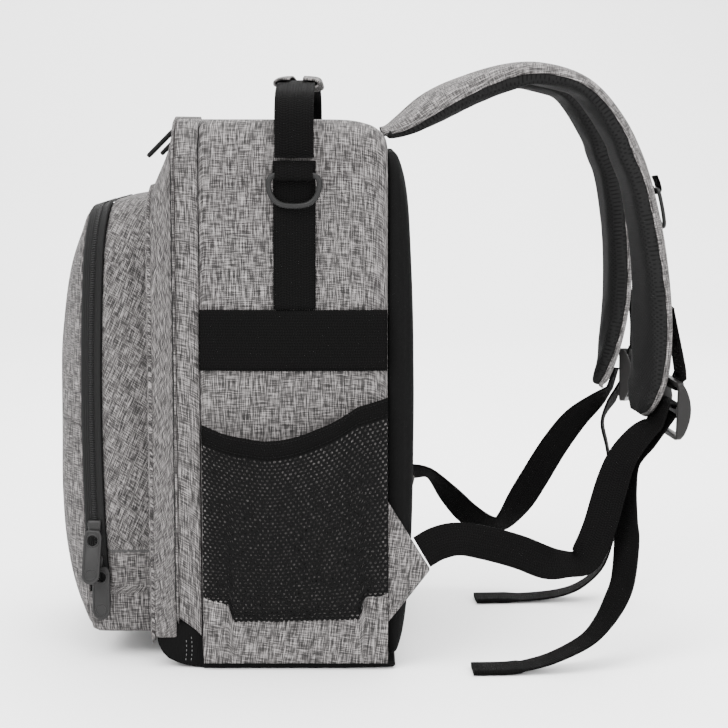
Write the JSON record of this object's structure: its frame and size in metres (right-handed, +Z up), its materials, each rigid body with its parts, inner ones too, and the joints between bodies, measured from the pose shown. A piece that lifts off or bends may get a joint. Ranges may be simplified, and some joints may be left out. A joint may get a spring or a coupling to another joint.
{
  "type": "camera backpack",
  "caption": "Upright box-shaped camera backpack with a zipped front pocket, net side pockets, padded shoulder straps and a carry handle.",
  "frame": {"origin": "middle of the flat foot of the bag", "axes": "+Z up, -Y towards the front pocket, +Y towards the shoulder straps, +X to the wearer's right"},
  "size_m": [0.3132, 0.4742, 0.4426],
  "materials": {
    "grey_cloth": "heather weave",
    "black_cloth": "fine weave",
    "webbing": "ribbed weave",
    "net": "open knit",
    "mesh_padding": "padded spacer mesh",
    "zip": "moulded coil and tape",
    "gunmetal": "dark satin",
    "grey_plastic": "satin"
  },
  "bodies": {
    "bag": {"main_shell": "grey_cloth", "base_panel": "black_cloth", "back_panel": "black_cloth", "lid_panel": "grey_cloth", "organiser_zip": "zip", "organiser_section": "grey_cloth", "pocket_gusset": "grey_cloth", "pocket_zip_tape": "zip", "pocket_face": "grey_cloth", "front_patch": "grey_plastic", "pocket_slider_lower": "gunmetal", "pocket_slider_upper": "gunmetal", "organiser_slider_right": "gunmetal", "organiser_slider_left": "gunmetal", "handle_webbing": "webbing", "handle_wrap": "grey_cloth", "side_band_right": "webbing", "side_band_left": "webbing", "side_webbing_right": "webbing", "side_webbing_left": "webbing", "mesh_pocket_right": "net", "mesh_pocket_left": "net", "mesh_hem_right": "webbing", "mesh_hem_left": "webbing", "pocket_foot_right": "grey_cloth", "pocket_foot_left": "grey_cloth", "ring_loop_right": "webbing", "ring_loop_left": "webbing", "shoulder_strap_right": "mesh_padding", "shoulder_strap_left": "mesh_padding", "strap_ring_loop_right": "webbing", "strap_ring_loop_left": "webbing", "ladder_lock_right": "grey_plastic", "ladder_lock_left": "grey_plastic", "buckle_tab_right": "webbing", "buckle_tab_left": "webbing", "wing_right": "grey_cloth", "wing_left": "grey_cloth", "lower_webbing_right": "webbing", "lower_webbing_left": "webbing"},
    "pocket_pull_lower": {"pocket_pull_lower": "gunmetal"},
    "pocket_pull_upper": {"pocket_pull_upper": "gunmetal"},
    "organiser_pull_right": {"organiser_pull_right": "zip"},
    "organiser_pull_left": {"organiser_pull_left": "zip"},
    "side_ring_right": {"side_ring_right": "gunmetal"},
    "side_ring_left": {"side_ring_left": "gunmetal"},
    "strap_ring_right": {"strap_ring_right": "gunmetal"},
    "strap_ring_left": {"strap_ring_left": "gunmetal"}
  },
  "joints": [
    {"name": "pocket_pull_lower_swing", "type": "hinge", "parent": "bag", "child": "pocket_pull_lower", "pos_m": [0.10892, -0.13814, 0.0708], "axis": [-0.1496, -0.9888, 0], "range_deg": [0, 36]},
    {"name": "pocket_pull_upper_swing", "type": "hinge", "parent": "bag", "child": "pocket_pull_upper", "pos_m": [0.10832, -0.14326, 0.09805], "axis": [-0.1496, -0.9888, 0], "range_deg": [0, 104]},
    {"name": "organiser_pull_right_swing", "type": "hinge", "parent": "bag", "child": "organiser_pull_right", "pos_m": [0.0486, -0.08602, 0.39178], "axis": [-1, 0, 0], "range_deg": [0, 120]},
    {"name": "organiser_pull_left_swing", "type": "hinge", "parent": "bag", "child": "organiser_pull_left", "pos_m": [-0.0486, -0.08602, 0.39178], "axis": [-1, 0, 0], "range_deg": [0, 120]},
    {"name": "side_ring_right_swing", "type": "hinge", "parent": "bag", "child": "side_ring_right", "pos_m": [0.14313, 0.0075, 0.361], "axis": [0, -1, 0], "range_deg": [0, 110]},
    {"name": "side_ring_left_swing", "type": "hinge", "parent": "bag", "child": "side_ring_left", "pos_m": [-0.14313, 0.0075, 0.361], "axis": [0, 1, 0], "range_deg": [0, 110]},
    {"name": "strap_ring_right_swing", "type": "hinge", "parent": "bag", "child": "strap_ring_right", "pos_m": [0.0763, 0.27251, 0.34859], "axis": [0.9968, 0.0628, 0.0494], "range_deg": [0, 110]},
    {"name": "strap_ring_left_swing", "type": "hinge", "parent": "bag", "child": "strap_ring_left", "pos_m": [-0.07759, 0.27155, 0.34818], "axis": [0.9989, 0.0375, -0.0286], "range_deg": [0, 110]}
  ]
}
